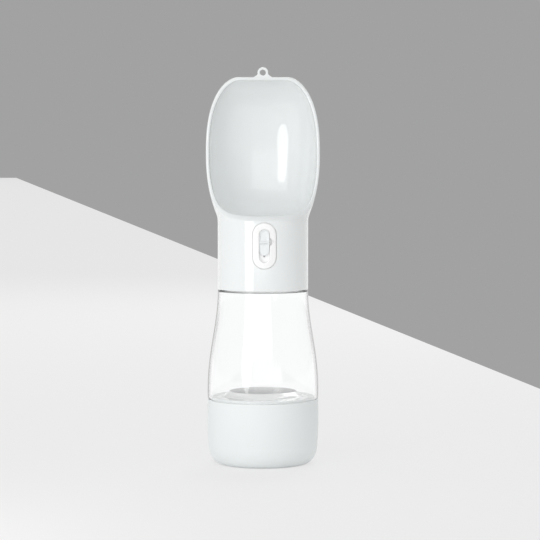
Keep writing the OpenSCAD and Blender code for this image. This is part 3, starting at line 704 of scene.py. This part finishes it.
def buildThreadTree():
    # round ridges that climb a wall, as many starts as asked, fading at both ends
    tree = bpy.data.node_groups.new("screwThread", "GeometryNodeTree")
    addSockets(tree, "OUTPUT", "Geometry", "Geometry")
    addSockets(tree, "INPUT", "Float", "Radius", "Low", "Rise", "Turns", "Ridge")
    addSockets(tree, "INPUT", "Int", "Starts", "Steps")
    addSockets(tree, "INPUT", "Material", "Material")
    start, end = addNode(tree, "NodeGroupInput"), addNode(tree, "NodeGroupOutput")
    helix = addNode(tree, "GeometryNodeCurveSpiral", {"Reverse": True})  # right-handed
    upright = addNode(tree, "GeometryNodeSetCurveNormal")
    upright.mode = "Z_UP"
    along = addNode(tree, "GeometryNodeSplineParameter")
    fromEnd = addNode(tree, "ShaderNodeMath", {0: 1}, "SUBTRACT")
    nearest = addNode(tree, "ShaderNodeMath", operation="MINIMUM")
    fade = addNode(tree, "ShaderNodeMapRange", {"From Max": 0.07, "To Min": 0.15})
    fade.interpolation_type = "SMOOTHSTEP"
    swell = addNode(tree, "GeometryNodeSetCurveRadius")
    bead = addNode(tree, "GeometryNodeCurvePrimitiveCircle", {"Resolution": 12})
    sweep = addNode(tree, "GeometryNodeCurveToMesh", {"Fill Caps": True})
    places = addNode(tree, "GeometryNodePoints")
    height = addNode(tree, "ShaderNodeCombineXYZ")
    number = addNode(tree, "GeometryNodeInputIndex")
    part = addNode(tree, "ShaderNodeMath", operation="DIVIDE")
    angle = addNode(tree, "ShaderNodeMath", {1: 2 * math.pi}, "MULTIPLY")
    turn = addNode(tree, "ShaderNodeCombineXYZ")
    copies = addNode(tree, "GeometryNodeInstanceOnPoints")
    solid = addNode(tree, "GeometryNodeRealizeInstances")
    paint = addNode(tree, "GeometryNodeSetMaterial")
    connect(
        tree,
        (start, "Steps", helix, "Resolution"),
        (start, "Turns", helix, "Rotations"),
        (start, "Radius", helix, "Start Radius"),
        (start, "Radius", helix, "End Radius"),
        (start, "Rise", helix, "Height"),
        (helix, 0, upright, 0),
        (along, "Factor", fromEnd, 1),
        (along, "Factor", nearest, 0),
        (fromEnd, 0, nearest, 1),
        (nearest, 0, fade, "Value"),
        (upright, 0, swell, 0),
        (fade, "Result", swell, "Radius"),
        (start, "Ridge", bead, "Radius"),
        (swell, 0, sweep, "Curve"),
        (bead, 0, sweep, "Profile Curve"),
        (start, "Starts", places, "Count"),
        (start, "Low", height, "Z"),
        (height, 0, places, "Position"),
        (number, 0, part, 0),
        (start, "Starts", part, 1),
        (part, 0, angle, 0),
        (angle, 0, turn, "Z"),
        (places, 0, copies, "Points"),
        (sweep, 0, copies, "Instance"),
        (turn, 0, copies, "Rotation"),
        (copies, 0, solid, 0),
        (solid, 0, paint, "Geometry"),
        (start, "Material", paint, "Material"),
        (paint, 0, end, 0),
    )
    return tree


def makeThread(name, ridges, material, body):
    piece = bpy.data.objects.new(name, bpy.data.meshes.new(name))
    scene.collection.objects.link(piece)
    modifier = piece.modifiers.new("ridges", "NODES")
    modifier.node_group = threadTree
    values = {**threads[name], **ridges, "Material": material}
    for socket in threadTree.interface.items_tree:
        if socket.in_out == "INPUT":
            modifier[socket.identifier] = values[socket.name]
    applyModifiers(piece, sharpAngle=60)
    dress(piece, material, body)


# thread sizes in metres; a pair climbs at one lead, 4.2 mm a turn on the neck and 10 mm on the skirt
threads = {
    "neckThread": {"Radius": 0.02352, "Low": 0.1190, "Rise": 0.0046, "Turns": 1.1},
    "socketThread": {"Radius": 0.02488, "Low": 0.1211, "Rise": 0.0042, "Turns": 1.0},
    "skirtThread": {"Radius": 0.03322, "Low": 0.0350, "Rise": 0.0056, "Turns": 0.56},
    "cupThread": {"Radius": 0.03428, "Low": 0.03375, "Rise": 0.0052, "Turns": 0.52},
}
headRidges = {"Ridge": 0.0008, "Starts": 1, "Steps": 96}
cupRidges = {"Ridge": 0.00055, "Starts": 4, "Steps": 160}
threadTree = buildThreadTree()
makeTank()
makeTankFloor()
makeThread("neckThread", headRidges, finish["clear"], "bottle")
makeThread("skirtThread", cupRidges, finish["clearFloor"], "bottle")
print("stage: clear tank")


# the trough's skins, its rim, floor and collar share these; heights are above the lip's level
trough = {
    "collarRadius": 30.0, "collarInner": 27.6, "collarLow": 116.0, "ceiling": 161.2, "lipLevel": 161.6,
    "halfWidth": 37.8, "wideHeight": 44.4, "topHeight": 94.7, "topFlat": 16.6, "innerFlat": 0.6,
    "wall": 2.1, "flareLow": 2.2, "flareBend": 2.3, "blend": 0.5, "blendBelow": 1.6, "blendAbove": 6.0,
    "bend": 2.5, "roundSide": 0.54, "roundBack": 0.6, "backStraight": 38.0,
    "lipRise": 3.1, "lipWidth": 3.7, "lipExtra": 0.1, "lipFade": 4.5, "lipTurn": 66.0,
    "sweep": 4.3, "sweepBend": 0.78, "rimBulge": 0.55, "rimPush": 1.4, "rimLift": 0.5, "rimSteps": 7,
    "bowlBack": 28.0, "bowlDip": 1.4, "bowlBend": 2.2, "bowlRound": 0.4545, "bowlGap": 0.05,
    "floorRings": 9, "floorInset": 5.0, "floorBend": 1.5, "floorDepth": 3.0, "floorMiddle": -4.0,
    "columns": 144, "lipRows": 18, "climbRows": 46, "climb": (0.45, 2.1, -1.55), "collarRows": 18,
    "edgeHeight": 0.6, "edgeRound": 0.5,
}


def makeHead():
    s = trough
    rim, wide, top, bulge = s["collarRadius"], s["wideHeight"], s["topHeight"], s["rimBulge"]
    level, rise, wall, straight = s["lipLevel"], s["lipRise"], s["wall"], s["backStraight"]
    bowlBack, bowlFloor, innerTop = s["bowlBack"], rise - s["bowlDip"], top - wall
    count, total = s["columns"], s["lipRows"] + s["climbRows"]
    points, faces = [], []

    def softMax(a, b, k):
        return (a + b + math.sqrt((a - b) ** 2 + k * k)) / 2

    def arch(h, low, high, power):
        # 1 at the low level, 0 at the high one
        return max(0, 1 - ((h - low) / (high - low)) ** s["bend"]) ** power

    def flare(h):
        below = max(0, wide - h) / (wide - s["flareLow"])
        return s["halfWidth"] - (s["halfWidth"] - rim) * below ** s["flareBend"]

    def outerWidth(h):
        if h >= wide:
            return s["topFlat"] + (s["halfWidth"] - s["topFlat"]) * arch(h, wide, top, s["roundSide"])
        soft = min(1, (h + s["blendBelow"]) / s["blendBelow"], (wide - h) / s["blendAbove"])
        return softMax(rim, flare(h), s["blend"] * max(0, soft))

    def outerDepth(h):
        return rim if h < straight else rim * arch(h, straight, top, s["roundBack"])

    def thickness(h):
        return wall + (s["lipWidth"] - wall + s["lipExtra"]) * math.exp(-(h - rise) / s["lipFade"])

    def innerWidth(h):
        if h <= wide:
            return outerWidth(h) - thickness(h)
        flat = s["topFlat"] - wall * s["innerFlat"]
        return flat + (s["halfWidth"] - thickness(h) - flat) * arch(h, wide, innerTop, s["roundSide"])

    def innerDepth(h):
        deep = rim - wall
        if h < bowlBack:
            below = (bowlBack - h) / (bowlBack - bowlFloor + s["bowlGap"])
            return deep * max(0, 1 - below ** s["bowlBend"]) ** s["bowlRound"]
        return deep if h < straight else deep * arch(h, straight, innerTop, s["roundBack"])

    # part runs from 0 at the lip to 1 at the top; sweep is how far forward the rim still is there
    def sweep(part):
        return math.exp(-s["sweep"] * (part * top / wide) ** s["sweepBend"])

    def lipPart(j):
        turn = math.cos(math.radians(s["lipTurn"] * j / s["lipRows"]))
        return wide / top * (-math.log(turn) / s["sweep"]) ** (1 / s["sweepBend"])

    def partAt(j):
        if j <= s["lipRows"]:
            return lipPart(j)
        u = (j - s["lipRows"]) / s["climbRows"]
        first, second, third = s["climb"]
        lipEnd = lipPart(s["lipRows"])
        return lipEnd + (1 - lipEnd) * (first * u + second * u * u + third * u ** 3)

    def section(width, depth, front, z, closed):
        # a round front and an oval back, open in front of the rim unless closed
        start = -math.pi / 2 if closed else math.asin(max(-1, min(1, front / width)))
        row = []
        for k in range(count if closed else count + 1):
            a = start + (math.pi - 2 * start) * k / count
            row.append((width * math.cos(a), (width if math.sin(a) < 0 else depth) * math.sin(a), z))
        return row

    def addRow(row):
        first = len(points)
        points.extend(row)
        return list(range(first, first + len(row)))

    def at(row, k):
        return row[k % len(row)] if len(row) == count else row[k]

    def strip(lower, upper):
        for k in range(count):
            faces.append((at(lower, k), at(lower, k + 1), at(upper, k + 1), at(upper, k)))

    def close(row, middle):
        centre = len(points)
        points.append(middle)
        faces.extend((at(row, k), at(row, k + 1), centre) for k in range(count))

    def skinRows(width, depth, lipRadius, foot, height):
        rows = []
        for j in range(total + 1):
            part = partAt(j)
            h = foot + height * part
            front = -lipRadius * sweep(part) + bulge * (1 - sweep(part))
            rows.append(addRow(section(width(h), depth(h), front, level + h, j == 0)))
        return rows

    outer = skinRows(outerWidth, outerDepth, rim, 0, top)
    inner = skinRows(innerWidth, innerDepth, innerWidth(rise), rise, innerTop - rise)
    for j in range(total):
        strip(outer[j], outer[j + 1])
        strip(inner[j + 1], inner[j])

    # rounded rim between the two skins
    loop = [(j, 0) for j in range(total + 1)]
    loop += [(total, k) for k in range(1, count)]
    loop += [(j, count) for j in range(total, 0, -1)]
    arcs = []
    for j, k in loop:
        a, b, swept = Vector(points[at(outer[j], k)]), Vector(points[at(inner[j], k)]), sweep(partAt(j))
        push = Vector((0, -bulge * s["rimPush"] * (1 - swept), s["rimLift"] * swept))
        arc = [at(outer[j], k)]
        for step in range(1, s["rimSteps"]):
            turn = math.pi * step / s["rimSteps"]
            arc.append(len(points))
            points.append(tuple(a.lerp(b, (1 - math.cos(turn)) / 2) + push * math.sin(turn)))
        arcs.append(arc + [at(inner[j], k)])
    for here, there in zip(arcs, arcs[1:] + arcs[:1]):
        for k in range(s["rimSteps"]):
            faces.append((here[k], there[k], there[k + 1], here[k + 1]))

    # bowl floor
    last = inner[0]
    for k in range(1, s["floorRings"] + 1):
        t = k / s["floorRings"]
        h = rise - (rise - bowlFloor) * math.sin(math.pi / 2 * t)
        width = innerWidth(rise) - s["floorInset"] * t ** s["floorBend"]
        ring = addRow(section(width, max(s["floorDepth"], innerDepth(h)), 0, level + h, True))
        strip(last, ring)
        last = ring
    close(last, (0, s["floorMiddle"], level + bowlFloor))

    # collar: down the outside, round its lower edge and up inside to the ceiling
    inside, low = s["collarInner"], s["collarLow"]
    edgeTop, blendLow = low + s["edgeHeight"], level - s["blendBelow"]
    blendSteps = [s["blendBelow"] * k / 4 for k in range(1, 5)]
    rowSteps = [k / s["collarRows"] for k in range(1, s["collarRows"] + 1)]
    edge = [(rim, edgeTop), (rim, low, s["edgeRound"]), (inside, low, s["edgeRound"]), (inside, edgeTop)]
    drops = [(outerWidth(-h), level - h) for h in blendSteps]
    drops += [(rim, blendLow + (edgeTop - blendLow) * t) for t in rowSteps]
    drops += [tuple(p) for p in roundedPath(edge, closed=False)]
    drops += [(inside, edgeTop + (s["ceiling"] - edgeTop) * t) for t in rowSteps]
    last = outer[0]
    for radius, z in drops:
        ring = addRow(section(radius, radius, 0, z, True))
        strip(last, ring)
        last = ring
    close(last, (0, 0, s["ceiling"]))
    return makePiece("troughHead", points, faces)


def makeLoop():
    eye = {
        "hole": 2.0, "radius": 3.55, "up": 3.1, "thickness": 4.0, "front": -0.4, "foot": 6.9, "drop": 1.1,
        "round": 0.6, "roundSteps": 4, "holeRound": 0.7, "count": 120,
        "filletStart": 0.1, "filletTop": 0.4, "filletOut": 1.9, "filletDown": 0.75, "filletSteps": 40,
        "footFrom": -0.05, "footSide": 0.7,
    }
    level = trough["lipLevel"] + trough["topHeight"] + eye["up"]
    radius, up, foot, count = eye["radius"], eye["up"], eye["foot"], eye["count"]

    def reach(a):
        # distance from the eye's centre at angle a from +X: a circle that spreads into a foot
        x, z = math.cos(a), math.sin(a)
        if z >= eye["footFrom"]:
            return radius
        best = (up + eye["drop"]) / -z
        for k in range(eye["filletSteps"] + 1):
            t = k / eye["filletSteps"]
            px = radius - eye["filletStart"] + (foot - radius + eye["filletStart"]) * t ** eye["filletOut"]
            pz = -eye["filletTop"] - (up - eye["filletTop"]) * t ** eye["filletDown"]
            if math.atan2(-pz, px) >= math.atan2(-z, abs(x)):
                return min(best, math.hypot(px, pz))
        return min(best, math.hypot(foot, up)) if abs(x) > eye["footSide"] else best

    angles = [2 * math.pi * k / count for k in range(count)]
    outline = [(math.cos(a) * reach(a), math.sin(a) * reach(a)) for a in angles]
    front, back = eye["front"], eye["front"] + eye["thickness"]
    stations = []
    for k in range(eye["roundSteps"] + 1):
        a = math.pi / 2 * k / eye["roundSteps"]
        stations.append((eye["round"] * (1 - math.sin(a)), eye["round"] * (1 - math.cos(a))))
    walk = [(inset, front + depth) for inset, depth in stations]
    walk += [(inset, back - depth) for inset, depth in reversed(stations)]
    points, rings, faces = [], [], []

    def addRing(shape, y):
        first = len(points)
        points.extend((x, y, level + z) for x, z in shape)
        rings.append(list(range(first, first + count)))

    for inset, y in walk:
        shares = [1 - inset / math.hypot(x, z) for x, z in outline]
        addRing([(x * share, z * share) for (x, z), share in zip(outline, shares)], y)
    for inset, y in reversed(walk):
        hole = eye["hole"] + eye["holeRound"] * inset
        addRing([(hole * math.cos(a), hole * math.sin(a)) for a in angles], y)
    for here, there in zip(rings, rings[1:] + rings[:1]):
        bridge(faces, here, there)
    return makePiece("hangingEye", points, faces)


def finishHead():
    # the eye on top, the button's pocket with a sleeve behind it, and the outlet in the bowl's floor
    pocket = {"level": 145.7, "halfWidth": 8.05, "halfHeight": 15.3, "front": -36.0, "back": -19.6}
    sleeve = {"halfWidth": 9.25, "halfHeight": 16.3, "front": -28.6, "back": -22.6}
    outlet = {"radius": 4.3, "y": -3.4, "low": 160.0, "high": 165.0}
    head = makeHead()
    radius, low, high = outlet["radius"], outlet["low"], outlet["high"]
    outletCut = lathe("grommetCut", [(0, low), (radius, low), (radius, high), (0, high)], 96)
    for corner in outletCut.data.vertices:
        corner.co.y += outlet["y"] * mm
    carve(head, [
        ("UNION", makeLoop()),
        ("UNION", ovalPrism("pocketSleeve", sleeve, pocket["level"])),
        ("DIFFERENCE", ovalPrism("pocketCut", pocket, pocket["level"])),
        ("DIFFERENCE", outletCut),
    ])
    dress(head, finish["head"], "head", ["trough_head"])
    return head


headPiece = finishHead()
print("stage: trough head", len(headPiece.data.polygons))


def ovalShell(name, size, stations, arc=24, side=12):
    # stations: (inset, depth at x and height h), from the outside of the back to the middle of the front
    points, faces, rings = [], [], []
    for inset, depth in stations:
        first = len(points)
        for x, h in stadium(size["halfWidth"] - inset, size["halfHeight"] - inset, arc, side):
            points.append((x, depth(x, h), size["level"] + h))
        rings.append(list(range(first, len(points))))
    for here, there in zip(rings, rings[1:]):
        bridge(faces, here, there)
    faces.append(tuple(reversed(rings[0])))
    faces.append(tuple(rings[-1]))
    return makePiece(name, points, faces, sharpAngle=35)


def makeButton():
    button = {
        "halfWidth": 7.85, "halfHeight": 15.1, "level": 145.7, "faceRadius": 30.4, "back": -26.4,
        "edge": 0.9, "flange": 0.18, "flangeDepths": (2.2, 2.1, 1.03, 0.98),  # behind the face
        "faceInsets": (1.5, 2.2, 3.0, 3.6), "slotInset": 4.35, "slotEdge": 0.35, "slotFloor": -28.1,
        "slotCorner": ((0, -0.25), (0.1, -0.08), (0.25, 0)),
        "arrow": [(2.9, 3.3), (5.95, 0.55), (6.22, 0.35), (6.3, 0),
                  (6.22, -0.35), (5.95, -0.55), (2.9, -3.3)],
        "arrowUp": 2.65, "arrowFront": -34.0, "arrowFloor": 0.6,
        "tailSlot": ((-0.65, -30.0, 138.45), (0.65, -25.4, 144.1)),
        "boss": {"inner": 2.94, "outer": 4.2, "front": -26.6, "back": -21.9, "level": 149.0},
    }
    edge, flange, slot, floor = button["edge"], button["flange"], button["slotInset"], button["slotFloor"]

    def face(x, sink=0.0):
        return -math.sqrt(button["faceRadius"] ** 2 - x * x) + sink

    def station(inset, sink):
        return inset, lambda x, h: face(x, sink)

    def flat(inset, y):
        return inset, lambda x, h: y

    flangeInsets = (0, -flange, -flange, 0)
    stations = [flat(0, button["back"])]
    stations += [station(inset, sink) for inset, sink in zip(flangeInsets, button["flangeDepths"])]
    for a in range(0, 91, 18):
        turn = math.radians(a)
        stations.append(station(edge * (1 - math.cos(turn)), edge * (1 - math.sin(turn))))
    stations += [station(inset, 0.0) for inset in button["faceInsets"]]
    for a in (0, 23, 45, 68, 90):
        turn, fillet = math.radians(a), button["slotEdge"]
        stations.append(station(slot - fillet * (1 - math.sin(turn)), fillet * (1 - math.cos(turn))))
    stations += [flat(slot + inward, floor + y) for inward, y in button["slotCorner"]]
    cap = ovalShell("buttonCap", button, stations)

    # arrow recess beside the slot, opening for the slider's tail, and the boss that holds the stem
    arrowBack, arrowLevel = floor + button["arrowFloor"], button["level"] + button["arrowUp"]
    arrowCut = prism("arrowCut", button["arrow"], button["arrowFront"], arrowBack, arrowLevel)
    slotCut = boxPiece("tailSlot", *button["tailSlot"])
    carve(cap, [("DIFFERENCE", arrowCut), ("DIFFERENCE", slotCut)])
    boss = button["boss"]
    inner, outer, front, back = boss["inner"], boss["outer"], boss["front"], boss["back"]
    ring = lathe("buttonBoss", [(inner, front), (outer, front), (outer, back), (inner, back)], 64)
    joinPieces(cap, turned(ring, boss["level"]))
    dress(cap, finish["button"], "button", ["button_cap"])


def makeSlider():
    slider = {
        "halfWidth": 3.3, "halfHeight": 8.5, "level": 147.87, "back": -28.22, "thick": 1.85, "edge": 0.4,
        "frame": 0.55, "frameSlope": 0.1, "sink": 0.3, "reliefFrom": 0.6, "reliefBlend": 0.4,
        "insets": (0.8, 1.1, 1.5, 2.0, 2.5, 3.0, 3.27),
        "step": {"height": 0.3, "at": 1.3, "sharpness": 5},
        "ridge": {"height": 0.55, "at": 0.1, "spread": 0.55},
        "groove": {"height": 0.6, "at": -0.9, "spread": 0.35},
        "tail": {"halfWidth": 0.5, "overlap": 0.4, "back": -21.6, "low": 142.9, "high": 143.9},
    }
    front, edge = slider["back"] - slider["thick"], slider["edge"]
    step, ridge, groove, tail = slider["step"], slider["ridge"], slider["groove"], slider["tail"]

    def bell(h, size):
        return size["height"] * math.exp(-((h - size["at"]) / size["spread"]) ** 2)

    def relief(h):
        # a shallow step above the middle, and a finger ridge with a groove under it
        raised = step["height"] / (1 + math.exp(-(h - step["at"]) * step["sharpness"]))
        return raised - bell(h, ridge) + bell(h, groove)

    def station(inset, sink, share=0.0):
        return inset, lambda x, h: front + sink + share * relief(h)

    stations = [station(0, slider["thick"])]
    for a in range(0, 91, 30):
        turn = math.radians(a)
        stations.append(station(edge * (1 - math.cos(turn)), edge * (1 - math.sin(turn))))
    stations.append(station(slider["frame"] - slider["frameSlope"], 0))
    stations.append(station(slider["frame"] + slider["frameSlope"], slider["sink"]))
    for inset in slider["insets"]:
        share = min(1, (inset - slider["reliefFrom"]) / slider["reliefBlend"])
        stations.append(station(inset, slider["sink"], share))
    plate = ovalShell("lockSlider", slider, stations, arc=20, side=60)
    low = (-tail["halfWidth"], slider["back"] - tail["overlap"], tail["low"])
    high = (tail["halfWidth"], tail["back"], tail["high"])
    joinPieces(plate, boxPiece("sliderTail", low, high))
    dress(plate, finish["slider"], "slider", ["lock_slider"])


makeButton()
makeSlider()
makeThread("socketThread", headRidges, finish["inner"], "head")
makeThread("cupThread", cupRidges, finish["cup"], "cup")
print("stage: button, slider and threads")


def makeSpring():
    # a copy of the solid spring in steel, carried by the head; the real spring shortens against the rear
    # plug as the button goes in, but this copy keeps its shape
    coil = bpy.data.objects.new("returnSpring", cad["return_spring"].data.copy())
    scene.collection.objects.link(coil)
    faceOutward(coil)
    dress(coil, finish["steel"], "head", ["return_spring"])
    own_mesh(coil)


makeSpring()
print("stage: return spring")

# the inner pieces keep their solids and get a finish each
cadFinish = {
    "silicone": ("cup_seal", "neck_gasket", "outlet_grommet", "vent_valve"),
    "inner": ("valve_body", "bore_plug", "slider_keeper"),
    "acetal": ("valve_spool",),
    "rubber": ("spool_ring_front", "spool_ring_middle", "spool_ring_rear", "plug_ring"),
    "steel": ("stem_clip",),
}
for finishName, nodeNames in cadFinish.items():
    for nodeName in nodeNames:
        cad[nodeName].data.materials.clear()
        cad[nodeName].data.materials.append(finish[finishName])
print("stage: inner pieces")

scene.view_settings.view_transform = "Standard"
